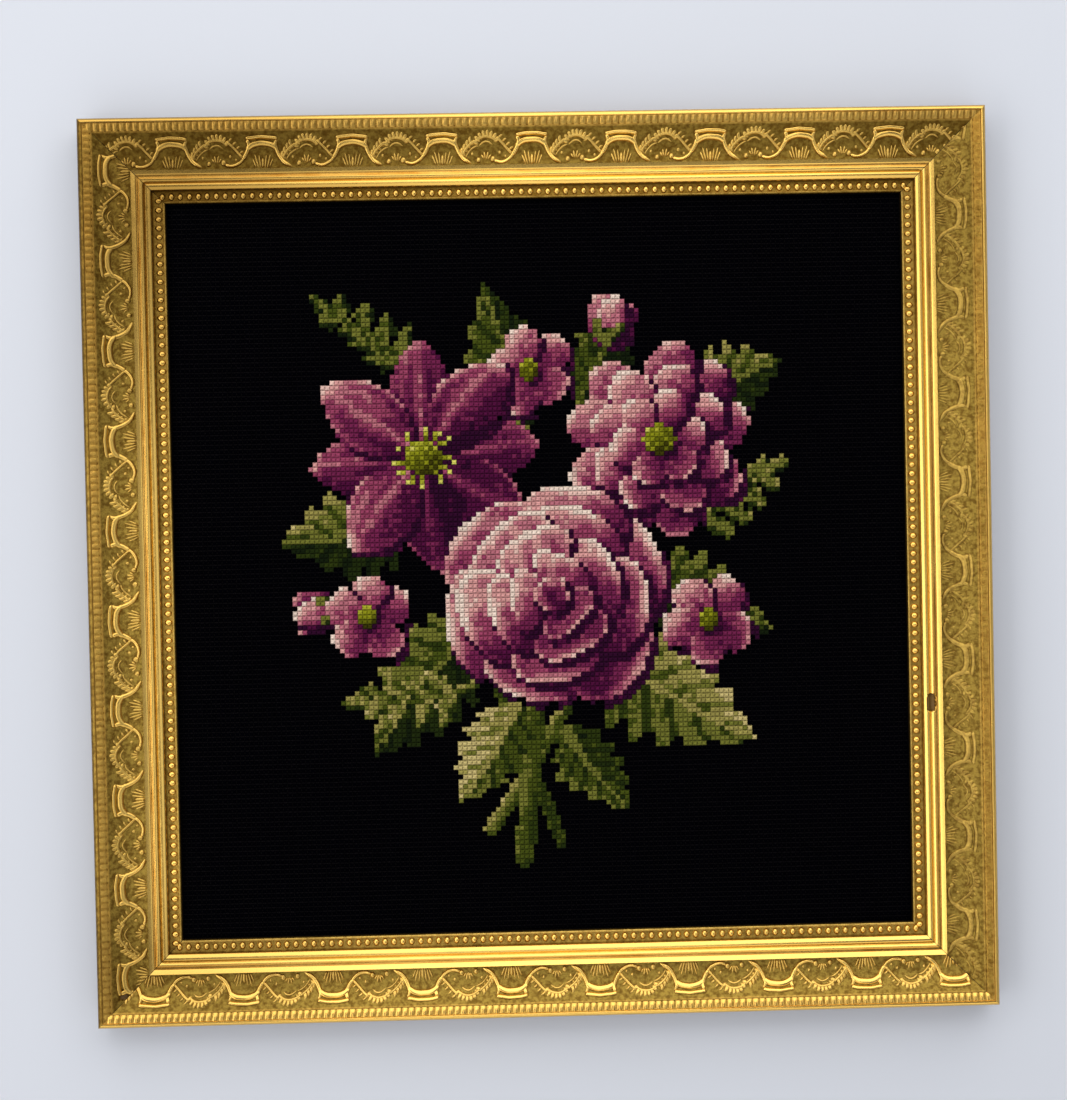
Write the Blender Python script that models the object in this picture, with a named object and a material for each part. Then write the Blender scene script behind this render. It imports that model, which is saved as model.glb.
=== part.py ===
"""A stitched needlepoint canvas in a square gilt picture frame, lying on its back.

X runs to the right of the picture, Y to its top edge and +Z out of its face. The origin is the
centre of the frame's back, so the four rails rest on Z = 0.
"""

import math

import bmesh
import bpy

# Driving sizes, in metres.
SIGHT = 0.3937  # side of the square opening, where the canvas shows
MOULDING_WIDTH = 0.04445  # from the outer side of a rail to its sight edge
LIP_WIDTH = 0.0079  # how far a rail reaches over the canvas
REBATE_DEPTH = 0.0100  # from the back of a rail to the underside of its lip
CANVAS_SIDE = 0.4064  # the canvas as cut
CANVAS_THICKNESS = 0.0024  # woven canvas with wool on both faces
GAP = 0.0003  # between pieces that touch
EDGE_ROUNDING = 0.0006  # where the wool turns over the edge of the canvas

OUTER = SIGHT + 2 * MOULDING_WIDTH

# Across a rail, each place is measured from its outer side.
ROLL_WIDTH = 0.0024
RIB_END = 0.0068
FILLET_END = 0.0077
HOLLOW_END = 0.0269
RIDGE_CREST = 0.0277
RIDGE_END = 0.0309
REED_CREST = 0.0324
REED_END = 0.0341
TORUS_CREST = 0.0366
TORUS_END = 0.0377
LIP_START = 0.0431

# Heights above the back.
SIDE_HEIGHT = 0.0190
ROLL_HEIGHT = 0.0217
RIB_FOOT_HEIGHT = 0.0200
FILLET_HEIGHT = 0.0196
HOLLOW_FOOT_HEIGHT = 0.0130
RIDGE_HEIGHT = 0.0163
RIDGE_END_HEIGHT = 0.0145
REED_HEIGHT = 0.0150
REED_END_HEIGHT = 0.0136
TORUS_HEIGHT = 0.0156
TORUS_END_HEIGHT = 0.0146
CHANNEL_HEIGHT = 0.0120
LIP_HEIGHT = 0.0129

# How far each curved band stands off the chord between its ends; a hollow is less than zero.
RIB_BULGE = 0.0006
HOLLOW_SAG = -0.0021
RIDGE_BULGE = 0.0003
REED_BULGE = 0.0002
TORUS_BULGE = 0.0003
BEVEL = 0.0003

GOLD = (0.62, 0.40, 0.10, 1.0)
WOOL_BLACK = (0.008, 0.008, 0.010, 1.0)


def clear_scene():
    for obj in list(bpy.data.objects):
        bpy.data.objects.remove(obj)


def principled(name, colour, roughness, metallic):
    material = bpy.data.materials.new(name)
    material.use_nodes = True
    shader = material.node_tree.nodes["Principled BSDF"]
    shader.inputs["Base Color"].default_value = colour
    shader.inputs["Roughness"].default_value = roughness
    shader.inputs["Metallic"].default_value = metallic
    material.diffuse_color = colour
    return material


def bowed(start, end, bulge, steps):
    """Points after start up to end, on a parabola that stands bulge off their chord at its middle."""
    points = []
    for i in range(1, steps + 1):
        t = i / steps
        off = 4 * bulge * t * (1 - t)
        points.append((start[0] + (end[0] - start[0]) * t, start[1] + (end[1] - start[1]) * t + off))
    return points


def quarter_round(corner, radius_across, radius_up, steps):
    """Points after (corner, side height) up to the top of the round outer edge."""
    points = []
    for i in range(1, steps + 1):
        angle = math.pi / 2 * i / steps
        points.append(
            (corner[0] + radius_across * (1 - math.cos(angle)), corner[1] + radius_up * math.sin(angle))
        )
    return points


def moulding_profile():
    """The section of a rail as (distance from the outer side, height) points, without a repeat."""
    rebate_wall = MOULDING_WIDTH - LIP_WIDTH
    points = [(0.0, 0.0), (0.0, SIDE_HEIGHT)]
    points += quarter_round(points[-1], ROLL_WIDTH, ROLL_HEIGHT - SIDE_HEIGHT, 5)
    points += bowed(points[-1], (RIB_END, RIB_FOOT_HEIGHT), RIB_BULGE, 4)
    points += [(RIB_END, FILLET_HEIGHT), (FILLET_END, FILLET_HEIGHT)]
    points += bowed(points[-1], (HOLLOW_END, HOLLOW_FOOT_HEIGHT), HOLLOW_SAG, 10)
    points += [(HOLLOW_END, RIDGE_HEIGHT - BEVEL), (RIDGE_CREST, RIDGE_HEIGHT)]
    points += bowed(points[-1], (RIDGE_END, RIDGE_END_HEIGHT), RIDGE_BULGE, 3)
    points += bowed(points[-1], (REED_CREST, REED_HEIGHT), REED_BULGE, 2)
    points += bowed(points[-1], (REED_END, REED_END_HEIGHT), REED_BULGE, 2)
    points += bowed(points[-1], (TORUS_CREST, TORUS_HEIGHT), TORUS_BULGE, 3)
    points += bowed(points[-1], (TORUS_END, TORUS_END_HEIGHT), TORUS_BULGE, 2)
    points += [(TORUS_END, CHANNEL_HEIGHT), (LIP_START, CHANNEL_HEIGHT)]
    points += [(LIP_START, LIP_HEIGHT), (MOULDING_WIDTH - BEVEL, LIP_HEIGHT)]
    points += [(MOULDING_WIDTH, LIP_HEIGHT - BEVEL), (MOULDING_WIDTH, REBATE_DEPTH)]
    points += [(rebate_wall, REBATE_DEPTH), (rebate_wall, 0.0)]
    return points


def rail_mesh(material):
    """The rail along the picture's lower edge, both ends cut at 45 degrees, as one closed prism."""
    profile = moulding_profile()
    mitre_inset = GAP / 2 * math.sqrt(2)
    bm = bmesh.new()
    ends = []
    for side in (-1, 1):
        ends.append(
            [
                bm.verts.new((side * (OUTER / 2 - across - mitre_inset), across - OUTER / 2, height))
                for across, height in profile
            ]
        )
    left, right = ends
    count = len(profile)
    for i in range(count):
        j = (i + 1) % count
        bm.faces.new((left[i], left[j], right[j], right[i]))
    bm.faces.new(left)
    bm.faces.new(right)
    bmesh.ops.recalc_face_normals(bm, faces=bm.faces)
    mesh = bpy.data.meshes.new("moulding_length")
    bm.to_mesh(mesh)
    bm.free()
    mesh.materials.append(material)
    mesh.shade_smooth()
    mesh.set_sharp_from_angle(angle=math.radians(32))
    return mesh


def add_rails(parent, material):
    """Four lengths of one moulding, turned about the centre of the picture."""
    mesh = rail_mesh(material)
    for name, turn in (("rail_bottom", 0), ("rail_right", 90), ("rail_top", 180), ("rail_left", 270)):
        rail = bpy.data.objects.new(name, mesh)
        rail.rotation_euler.z = math.radians(turn)
        rail.parent = parent
        bpy.context.scene.collection.objects.link(rail)


def add_canvas(parent, material):
    """The stitched canvas, a flat sheet held in the rebate under the lips of the rails."""
    bm = bmesh.new()
    bmesh.ops.create_cube(bm, size=1.0)
    bmesh.ops.scale(bm, vec=(CANVAS_SIDE, CANVAS_SIDE, CANVAS_THICKNESS), verts=bm.verts)
    bmesh.ops.bevel(bm, geom=bm.edges[:], offset=EDGE_ROUNDING, segments=2, affect="EDGES", profile=0.5)
    mesh = bpy.data.meshes.new("needlepoint_canvas")
    bm.to_mesh(mesh)
    bm.free()
    mesh.materials.append(material)
    canvas = bpy.data.objects.new("needlepoint_canvas", mesh)
    canvas.location.z = REBATE_DEPTH - GAP - CANVAS_THICKNESS / 2
    canvas.parent = parent
    bpy.context.scene.collection.objects.link(canvas)


def main():
    clear_scene()
    picture = bpy.data.objects.new("framed_needlepoint", None)
    bpy.context.scene.collection.objects.link(picture)
    add_rails(picture, principled("gilt_moulding", GOLD, roughness=0.35, metallic=0.9))
    add_canvas(picture, principled("stitched_wool", WOOL_BLACK, roughness=0.95, metallic=0.0))


main()
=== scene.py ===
"""The looks of a framed needlepoint: wool cross stitch on canvas in a square gilt picture frame.

Lengths are in metres unless a name ends in _MM. X is the picture's right, Y its top and Z its face.
"""

import math

import bmesh
import bpy
import numpy as np
from mathutils import Matrix, Vector


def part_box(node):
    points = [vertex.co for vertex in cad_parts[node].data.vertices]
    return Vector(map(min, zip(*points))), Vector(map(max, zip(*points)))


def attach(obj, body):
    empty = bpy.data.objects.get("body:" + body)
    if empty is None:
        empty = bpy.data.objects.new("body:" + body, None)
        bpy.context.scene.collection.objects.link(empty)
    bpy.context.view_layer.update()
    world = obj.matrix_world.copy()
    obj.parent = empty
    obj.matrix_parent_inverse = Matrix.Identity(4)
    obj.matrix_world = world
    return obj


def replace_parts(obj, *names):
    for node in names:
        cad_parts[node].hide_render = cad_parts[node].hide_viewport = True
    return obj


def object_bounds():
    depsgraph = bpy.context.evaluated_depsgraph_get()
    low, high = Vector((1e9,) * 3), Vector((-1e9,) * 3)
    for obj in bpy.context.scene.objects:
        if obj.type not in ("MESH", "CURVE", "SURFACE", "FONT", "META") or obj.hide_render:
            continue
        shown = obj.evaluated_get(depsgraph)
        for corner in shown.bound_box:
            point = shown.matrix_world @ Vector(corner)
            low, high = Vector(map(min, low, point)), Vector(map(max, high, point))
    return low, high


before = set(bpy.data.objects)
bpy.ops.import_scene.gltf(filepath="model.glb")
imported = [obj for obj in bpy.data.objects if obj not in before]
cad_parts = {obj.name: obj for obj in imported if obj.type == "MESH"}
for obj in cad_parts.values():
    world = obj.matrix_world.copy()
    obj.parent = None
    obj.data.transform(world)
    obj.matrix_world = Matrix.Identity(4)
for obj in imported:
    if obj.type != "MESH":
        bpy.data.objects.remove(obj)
cad_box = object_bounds()

MM = 0.001
RNG = np.random.default_rng(11)

RAILS = {"bottom": 0, "right": 90, "top": 180, "left": 270}  # turn of each rail about Z, in degrees
OUTER_MM = (cad_box[1][0] - cad_box[0][0]) / MM
CANVAS_LOW, CANVAS_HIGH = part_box("needlepoint_canvas")


# Meshes


def piece(name, points_mm, faces, materials, smooth_angle=None):
    """A new object from points in millimetres, riding on the one body that the object has."""
    mesh = bpy.data.meshes.new(name)
    mesh.from_pydata((np.asarray(points_mm, float) * MM).tolist(), [], faces)
    for material in materials:
        mesh.materials.append(material)
    if smooth_angle is not None:
        mesh.shade_smooth()
        mesh.set_sharp_from_angle(angle=math.radians(smooth_angle))
    obj = bpy.data.objects.new(name, mesh)
    bpy.context.scene.collection.objects.link(obj)
    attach(obj, "root")
    return obj


def store(obj, name, values, kind="FLOAT_COLOR"):
    """A value for each point of a mesh, for its material to read."""
    attribute = obj.data.attributes.new(name, kind, "POINT")
    values = np.asarray(values, np.float32)
    if kind == "FLOAT_COLOR":
        values = np.concatenate([values, np.ones((len(values), 1), np.float32)], axis=1)
        attribute.data.foreach_set("color", values.ravel())
    else:
        attribute.data.foreach_set("vector", values.ravel())


def grid_faces(rows, columns, first=0, closed=False):
    """Quads over points that were laid out row by row."""
    faces = []
    for r in range(rows - 1):
        for c in range(columns if closed else columns - 1):
            d = (c + 1) % columns
            a, b = first + r * columns, first + (r + 1) * columns
            faces.append((a + c, a + d, b + d, b + c))
    return faces


# The charted bouquet. Places and lengths here are in stitches, from the middle of the canvas.

STITCH_X_MM, STITCH_Y_MM = 2.487, 2.57
COLUMNS, ROWS = 162, 157
X, Y = np.meshgrid(np.arange(COLUMNS) - (COLUMNS - 1) / 2, np.arange(ROWS) - (ROWS - 1) / 2)
PAINTED_LIGHT = math.radians(125)  # the shading in the flowers comes from the upper left
FLECK = RNG.normal(0, 0.22, X.shape)

WOOLS = (
    # petals, dark to light
    (46, 5, 40),
    (76, 12, 56),
    (114, 34, 76),
    (152, 64, 96),
    (190, 112, 126),
    (222, 158, 155),
    (240, 198, 186),
    (246, 222, 206),
    # leaves and stems, dark to light
    (16, 27, 6),
    (30, 42, 8),
    (43, 55, 10),
    (68, 78, 18),
    (112, 114, 44),
    (156, 146, 76),
    (200, 182, 118),
    # hearts of the flowers, dark to light
    (58, 56, 4),
    (94, 96, 10),
    (134, 136, 22),
    (174, 174, 48),
    (214, 208, 96),
    # the ground
    (2, 2, 5),
)
PETAL, LEAF, HEART, GROUND = 0, 8, 15, 20  # where each family starts
LIGHTEST = {PETAL: 7, LEAF: 6, HEART: 4}
chart = np.full(X.shape, GROUND)


def paint(inside, family, tone):
    """Stitches a shape in one family of wools; tone 0 is that family's darkest."""
    level = np.clip(np.rint(tone + FLECK), 0, LIGHTEST[family]).astype(int)
    chart[inside] = (family + level)[inside]


def blade(base, angle, length, width, bend=0.0, belly=1.7, point=0.5):
    """Where each stitch lies in a petal or leaf: across it from -1 to 1, along it from 0 to 1."""
    dx, dy = X - base[0], Y - base[1]
    c, s = math.cos(angle), math.sin(angle)
    along = (dx * c + dy * s) / length
    across = -dx * s + dy * c - bend * length * along * np.abs(along)
    half = width * np.sin(np.pi * np.clip(along, 0, 1) ** belly) ** point
    across = across / np.maximum(half, 0.01)
    return across, along, (along > 0) & (along < 1) & (np.abs(across) <= 1)


def petal(base, angle, length, width, dark, light, lip=2.0, crease=1.0, veins=0.7, **form):
    """A petal, plum at its base and in its shade, with a pale turned rim, over a line of shadow."""
    below = (base[0] + 0.9, base[1] - 1.0)
    shadow = blade(below, angle, length + 0.6, width + 0.5, **form)[2]
    paint(shadow & (chart != GROUND), PETAL, 0.3 + 0 * X)
    u, v, inside = blade(base, angle, length, width, **form)
    side = math.sin(PAINTED_LIGHT - angle)
    held = np.clip(v, 0, 1)
    lit = np.clip(0.5 + 0.75 * side * u + 0.3 * math.cos(angle - PAINTED_LIGHT), 0, 1)
    tone = dark + (light - dark) * (0.3 * held + 0.7 * held * lit + 0.25 * lit * (1 - held))
    rim = np.maximum(v - 0.86, (np.abs(u) - 0.82) * 0.5 * (v > 0.3) * (u * side > -0.3))
    tone += lip * np.clip(rim / 0.1, 0, 1)
    tone -= crease * np.exp(-(((u - 0.15 * side) / 0.18) ** 2)) * (1 - held)
    tone += 4 * veins * np.sin(10 * u + 5 * angle) * held * (1 - held) * lit
    paint(inside, PETAL, tone)


def ring(centre, count, start, reach, length, width, dark, light, squash=1.0, **form):
    """A ring of petals round a centre, seen a little from one side where squash is under 1."""
    for i in range(count):
        a = start + 2 * math.pi * i / count + RNG.uniform(-0.09, 0.09)
        x, y = math.cos(a), math.sin(a) * squash
        stretch = math.hypot(x, y) * RNG.uniform(0.93, 1.06)
        base = (centre[0] + reach * x, centre[1] + reach * y)
        shades = (dark + RNG.uniform(-0.5, 0.5), light + RNG.uniform(-0.6, 0.5))
        bend = RNG.uniform(-0.12, 0.12)
        petal(base, math.atan2(y, x), length * stretch, width, *shades, bend=bend, **form)


def boss(centre, radius, stamens=0):
    """The green and yellow heart of an open flower, with loose stamens round it."""
    dx, dy = X - centre[0], Y - centre[1]
    r = np.hypot(dx, dy * 1.1) / radius
    lit = (dx * math.cos(PAINTED_LIGHT) + dy * math.sin(PAINTED_LIGHT)) / radius
    dots = np.sin(2.6 * X) * np.sin(2.2 * Y)
    paint(np.hypot(dx - 0.8, dy + 0.9) / radius < 1.05, PETAL, 0.4 + 0 * X)
    paint(r < 1, HEART, 1.4 + 1.6 * lit + 1.0 * dots)
    for i in range(stamens):
        a = 2 * math.pi * i / stamens + RNG.uniform(-0.15, 0.15)
        for out, tone in ((1.15, 2), (1.45, 3), (1.7, 4)):
            x, y = centre[0] + radius * out * math.cos(a), centre[1] + radius * out * math.sin(a)
            paint((np.abs(X - x) < 0.5) & (np.abs(Y - y) < 0.5), HEART, tone + 0 * X)


def leaf(base, angle, length, width, tan=0.0, bend=0.0, teeth=6, dark=0.6):
    """A pointed leaf with round teeth, its halves lit differently, with a pale rib and side veins."""
    u, v, _ = blade(base, angle, length, width, bend, belly=0.75, point=1.0)
    held = np.clip(v, 0, 1)
    tooth = 1.08 - 0.34 * np.abs(np.sin(math.pi * (held * teeth - 0.25 * np.abs(u)))) ** 3
    inside = (v > 0) & (v < 1) & (np.abs(u) <= tooth)
    side = math.sin(PAINTED_LIGHT - angle)
    tone = dark + 1.2 * (1 + side * np.sign(u)) + 1.0 * held + tan
    tone += 1.4 * np.abs(u) * (u * side > 0)
    tone -= 1.5 * (np.abs(((held * teeth - np.abs(u) * 1.3) % 1) - 0.5) < 0.17)
    rib = (np.abs(u) * width * np.sin(math.pi * held) < 0.7) & (held < 0.9)
    paint(inside, LEAF, np.where(rib, 3.9 + 0.6 * tan, tone))


def bezier(points, t):
    """The place at t on a curve pulled by its middle point."""
    return tuple((1 - t) ** 2 * a + 2 * t * (1 - t) * b + t * t * c for a, b, c in zip(*points))


def stem(points, width=1.3, tan=0.0):
    """A stem along a curve through three points, pale on its lit side."""
    nearest, lit = np.full(X.shape, 99.0), np.zeros(X.shape)
    for t in np.linspace(0, 1, 60):
        x, y = bezier(points, t)
        away = np.hypot(X - x, Y - y)
        towards = (X - x) * math.cos(PAINTED_LIGHT) + (Y - y) * math.sin(PAINTED_LIGHT)
        lit = np.where(away < nearest, towards, lit)
        nearest = np.minimum(nearest, away)
    paint(nearest < width, LEAF, 2.8 + tan + 1.6 * lit / width)


def spray(base, angle, length, bend, pairs, size, tan=0.0):
    """A stalk with leaflets in pairs that grow smaller to its tip."""
    middle = (base[0] + 0.5 * length * math.cos(angle), base[1] + 0.5 * length * math.sin(angle))
    tip = (base[0] + length * math.cos(angle + bend), base[1] + length * math.sin(angle + bend))
    stem((base, middle, tip), width=0.8, tan=tan)
    for i in range(pairs):
        t = (i + 1.2) / (pairs + 0.6)
        for way in (-1, 1):
            lean = angle + bend * t + way * 0.85
            at = bezier((base, middle, tip), t)
            leaf(at, lean, size * (1.1 - 0.55 * t), size * 0.26, tan=tan, teeth=3)
    leaf(tip, angle + bend, size * 0.7, size * 0.22, tan=tan, teeth=3)


def rose(centre, size):
    """Rounds of broad, overlapping petals, smaller and paler towards a closed heart."""
    for count, start, share, dark, light in (
        (6, 0.3, 1.0, 0.0, 5.2),
        (5, 1.1, 0.8, 0.0, 6.4),
        (4, 0.4, 0.58, 0.0, 7.0),
        (3, 1.2, 0.36, 0.4, 7.4),
    ):
        paint(np.hypot(X - centre[0], Y - centre[1]) < 0.45 * share * size, PETAL, 0.4 + 0 * X)
        width = size * (0.3 * share + 0.16)
        ring(centre, count, start, 0, size * share, width, dark, light, squash=0.92, lip=2.6, crease=1.6)
    for i in range(3):
        a = 2.2 + i * 2.1
        at = (centre[0] - 1.6 * math.cos(a), centre[1] - 1.6 * math.sin(a))
        petal(at, a, size * 0.2, size * 0.13, 0.2, 5.6, lip=2.4)


def clematis(centre, size):
    """Eight pointed petals, each with a pale bar and rim, round a stamened heart."""
    form = {"belly": 1.0, "point": 0.75}
    ring(centre, 4, 0.1, size * 0.1, size * 0.9, size * 0.27, 0.0, 3.4, lip=1.6, crease=-2.6, **form)
    ring(centre, 4, 0.9, size * 0.1, size * 0.95, size * 0.29, 0.2, 4.6, lip=2.4, crease=-3.2, **form)
    boss(centre, size * 0.15, stamens=12)


def dahlia(centre, size):
    """Rounds of short, pale-tipped petals, smaller towards the heart."""
    form = {"belly": 1.5, "point": 0.6, "veins": 0.2}
    for count, start, reach, share, dark, light in (
        (9, 0.1, 0.2, 0.8, 0.0, 5.4),
        (8, 0.45, 0.14, 0.62, 0.2, 6.6),
        (6, 0.2, 0.08, 0.42, 0.4, 7.4),
    ):
        width = size * (0.12 + 0.17 * share)
        ring(centre, count, start, size * reach, size * share, width, dark, light, **form)
    boss(centre, size * 0.17)


def blossom(centre, size, start=0.3):
    """A small flower with five round petals."""
    ring(centre, 5, start, 0.6, size, size * 0.45, 0.8, 6.6, belly=1.4, lip=1.6, crease=1.2, veins=0.3)
    boss(centre, size * 0.26)


def bud(base, angle, size):
    """Three closed petals in a green cup."""
    for lean, dark, light in ((-0.35, 0.2, 3.6), (0.35, 0.6, 5.0), (0, 1.4, 7.2)):
        petal(base, angle + lean, size, size * 0.3, dark, light, belly=1.0)
    for lean in (-0.5, 0.5):
        leaf(base, angle + lean, size * 0.6, 1.6, teeth=3)


def bouquet():
    """Everything in the picture, from the back to the front."""
    turn = math.radians
    stem(((-27, 20), (-14, -14), (3, -58)), 1.5, tan=-0.6)
    stem(((27, 24), (14, -20), (-12, -55)), 1.6, tan=0.9)
    stem(((2, 0), (-2, -30), (-5, -61)), 2.2, tan=0.3)
    leaf((-4, 28), turn(98), 32, 9, bend=0.1, tan=-0.5)
    leaf((8, 34), turn(62), 24, 7, tan=-0.9, bend=-0.1)
    leaf((-28, 10), turn(196), 29, 10, bend=-0.12)
    leaf((-14, -12), turn(222), 36, 11, tan=-0.2, bend=0.14, teeth=7)
    leaf((10, -16), turn(322), 42, 12, tan=1.7, bend=0.12, teeth=7)
    leaf((18, -4), turn(350), 34, 10, tan=-0.4, bend=-0.15, teeth=7)
    leaf((-6, -28), turn(250), 25, 8, tan=1.9, bend=-0.2)
    leaf((4, -34), turn(300), 23, 7, tan=0.2, bend=0.15)
    leaf((32, 34), turn(22), 23, 8)
    spray((-26, 38), turn(120), 24, 0.35, 4, 9, tan=-0.4)
    spray((30, 8), turn(12), 22, 0.3, 4, 9, tan=0.4)
    spray((-14, -24), turn(205), 24, -0.3, 4, 9, tan=1.0)
    bud((14, 46), turn(70), 11)
    bud((-44, -8), turn(190), 10)
    blossom((-38, -10), 9)
    blossom((36, -12), 9.5, 0.9)
    blossom((-2, 41), 9, 0.6)
    clematis((-25, 23), 25)
    dahlia((26, 26), 21)
    rose((2, -6), 26)


def linear(colour):
    """A screen colour from 0 to 255 as the light that a shader takes."""
    c = np.asarray(colour, float) / 255
    return np.where(c <= 0.04045, c / 12.92, ((c + 0.055) / 1.055) ** 2.4)


# The stitches

CANVAS_TOP_MM = CANVAS_HIGH[2] / MM - 0.75  # the woven canvas, under the wool
STITCH_RISE_MM = 0.8
COLUMN_FILL, ROW_FILL = 0.98, 0.86  # a stitch's share of its cell, which leaves grooves between
OVERHANG_MM = 0.06  # how far an arm may reach past that share
EDGE_DROP_MM = 0.26  # from the middle of an arm down to its edges
UNDER_ARM_SHARE = 0.85  # of the rise, for the arm that the other crosses
UNEVEN_TURN = 0.035  # radians
UNEVEN_PLACE_MM = (0.035, 0.03)
UNEVEN_RISE = (-0.1, 0.08)
UNEVEN_DYE = 0.07
BACKING_UP_MM, BACKING_SHADE = 0.03, 0.4  # the wool that shows between the arms of a flower's cross, darkened as painted shade in the gaps

# The stations of an arm: how far along it from -1 to 1, half its width in millimetres, and its
# height as a share of the crest's.
FULL_ARM = ((-1.0, 0.36, 0.05), (-0.45, 0.66, 0.92), (0.45, 0.66, 1.0), (1.0, 0.36, 0.05))
SIMPLE_ARM = ((-1.0, 0.42, 0.05), (0.0, 0.66, 1.0), (1.0, 0.42, 0.05))


def strand(stations, slope, crest_mm, tone):
    """One arm of a cross: points across and along, heights, and a painted shade for each point, darker at
    its ends and edges.
    """
    points, shades, yarn = [], [], []
    half = np.array([STITCH_X_MM * 0.5 * COLUMN_FILL, STITCH_Y_MM * 0.5 * ROW_FILL * slope])
    side = np.array([-half[1], half[0]]) / np.hypot(*half)
    for t, half_width, rise in stations:
        for across in (-1, 0, 1):
            at = half * t + side * across * half_width
            limit = np.array([STITCH_X_MM * COLUMN_FILL, STITCH_Y_MM * ROW_FILL]) / 2 + OVERHANG_MM
            at = np.clip(at, -limit, limit)
            height = crest_mm * rise - EDGE_DROP_MM * abs(across) * max(rise, 0.3)
            points.append((at[0], at[1], height))
            shades.append(tone * (0.8 if abs(t) == 1 else 1.0) * (0.9 if across else 1.0))
            yarn.append((across * half_width, t * np.hypot(*half), 0.0))
    return np.array(points), np.array(shades), np.array(yarn)


def stitch_piece(name, chosen, material, backed):
    """Cross stitches at the chosen (row, column) places, each two crossing arms of wool."""
    stations = FULL_ARM if backed else SIMPLE_ARM
    # The arm underneath is darker: painted shade under the arm that crosses it.
    under = strand(stations, -1, STITCH_RISE_MM * UNDER_ARM_SHARE, 0.9)
    over = strand(stations, 1, STITCH_RISE_MM, 1.0)
    arms = 2 * 3 * len(stations)
    shape = np.concatenate([under[0], over[0]])
    shade = np.concatenate([under[1], over[1]])
    yarn = np.concatenate([under[2], over[2]])
    quads = np.array(grid_faces(len(stations), 3) + grid_faces(len(stations), 3, first=arms // 2))
    rows, columns = chosen
    count = len(rows)
    # A square of the stitch's wool under each flower stitch, darkened: painted shade between the arms.
    if backed:
        corner = np.array([(-1, -1), (1, -1), (1, 1), (-1, 1)]) * (STITCH_X_MM / 2, STITCH_Y_MM / 2)
        shape = np.concatenate([shape, np.column_stack([corner, np.full(4, BACKING_UP_MM)])])
        shade = np.concatenate([shade, np.full(4, BACKING_SHADE)])
        yarn = np.concatenate([yarn, np.zeros((4, 3))])
        quads = np.concatenate([quads, [np.arange(4) + arms]])
    place = np.column_stack([X[rows, columns] * STITCH_X_MM, Y[rows, columns] * STITCH_Y_MM])
    turn = RNG.normal(0, UNEVEN_TURN, count)
    arm = np.arange(len(shape)) < arms
    points = np.repeat(shape[None], count, 0)
    c, s = np.cos(turn)[:, None], np.sin(turn)[:, None]
    x = np.where(arm, points[..., 0] * c - points[..., 1] * s, points[..., 0])
    y = np.where(arm, points[..., 0] * s + points[..., 1] * c, points[..., 1])
    points[..., 0] = x + place[:, :1] + np.where(arm, RNG.normal(0, UNEVEN_PLACE_MM[0], (count, 1)), 0)
    points[..., 1] = y + place[:, 1:] + np.where(arm, RNG.normal(0, UNEVEN_PLACE_MM[1], (count, 1)), 0)
    uneven = np.where(arm, RNG.uniform(*UNEVEN_RISE, (count, 1)), 0)
    points[..., 2] = CANVAS_TOP_MM + points[..., 2] * (1 + uneven)
    colour = linear(WOOLS)[chart[rows, columns]] * RNG.normal(1, UNEVEN_DYE, (count, 1))
    # Each point's wool colour, times its painted shade.
    colours = colour[:, None] * shade[None, :, None]
    faces = (quads[None] + np.arange(count)[:, None, None] * len(shape)).reshape(-1, 4)
    obj = piece(name, points.reshape(-1, 3), faces.tolist(), [material], 180)
    store(obj, "wool", np.clip(colours, 0, 1).reshape(-1, 3))
    yarns = np.repeat(yarn[None], count, 0)
    yarns[..., 2] = RNG.uniform(0, 50, (count, 1))
    store(obj, "yarn", yarns.reshape(-1, 3), "FLOAT_VECTOR")
    return obj


BACK_POINTS = 105  # along each side of the canvas's back
BACK_WAVE_MM = 0.1


def base_canvas(material):
    """The woven canvas as a closed sheet, whose back shows the wool of the bouquet from behind."""
    half = CANVAS_HIGH[0] / MM
    bottom = CANVAS_LOW[2] / MM + BACK_WAVE_MM
    side = BACK_POINTS
    line = np.linspace(-half, half, side)
    gx, gy = np.meshgrid(line, line)
    column = np.clip(np.rint(gx / STITCH_X_MM + (COLUMNS - 1) / 2), 0, COLUMNS - 1).astype(int)
    row = np.clip(np.rint(gy / STITCH_Y_MM + (ROWS - 1) / 2), 0, ROWS - 1).astype(int)
    worked = (np.abs(gx) < COLUMNS * STITCH_X_MM / 2) & (np.abs(gy) < ROWS * STITCH_Y_MM / 2)
    colour = np.where(worked[..., None], linear(WOOLS)[chart[row, column]] * 0.8, linear((150, 138, 112)))
    waves = BACK_WAVE_MM * np.sin(gx / 19 + 1) * np.sin(gy / 23)
    back = np.column_stack([gx.ravel(), gy.ravel(), (bottom + waves).ravel()])
    corners = ((-half, -half), (half, -half), (half, half), (-half, half))
    front = np.array([(x, y, CANVAS_TOP_MM) for x, y in corners])
    first = side * side
    faces = [tuple(reversed(f)) for f in grid_faces(side, side)]
    faces.append(tuple(first + i for i in range(4)))
    edges = (
        list(range(side)),
        [i * side + side - 1 for i in range(side)],
        [first - 1 - i for i in range(side)],
        [(side - 1 - i) * side for i in range(side)],
    )
    for i, edge in enumerate(edges):
        faces.append(tuple(edge) + (first + (i + 1) % 4, first + i))
    obj = piece("woven_canvas", np.concatenate([back, front]), faces, [material], 30)
    # The canvas's front, seen only in the grooves between stitches, is near black: painted shade.
    colours = np.concatenate([colour.reshape(-1, 3), np.tile(linear((5, 4, 6)), (4, 1))])
    store(obj, "wool", colours)
    return obj


# The frame's mouldings. A place across a rail is measured from its outer side.

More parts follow.
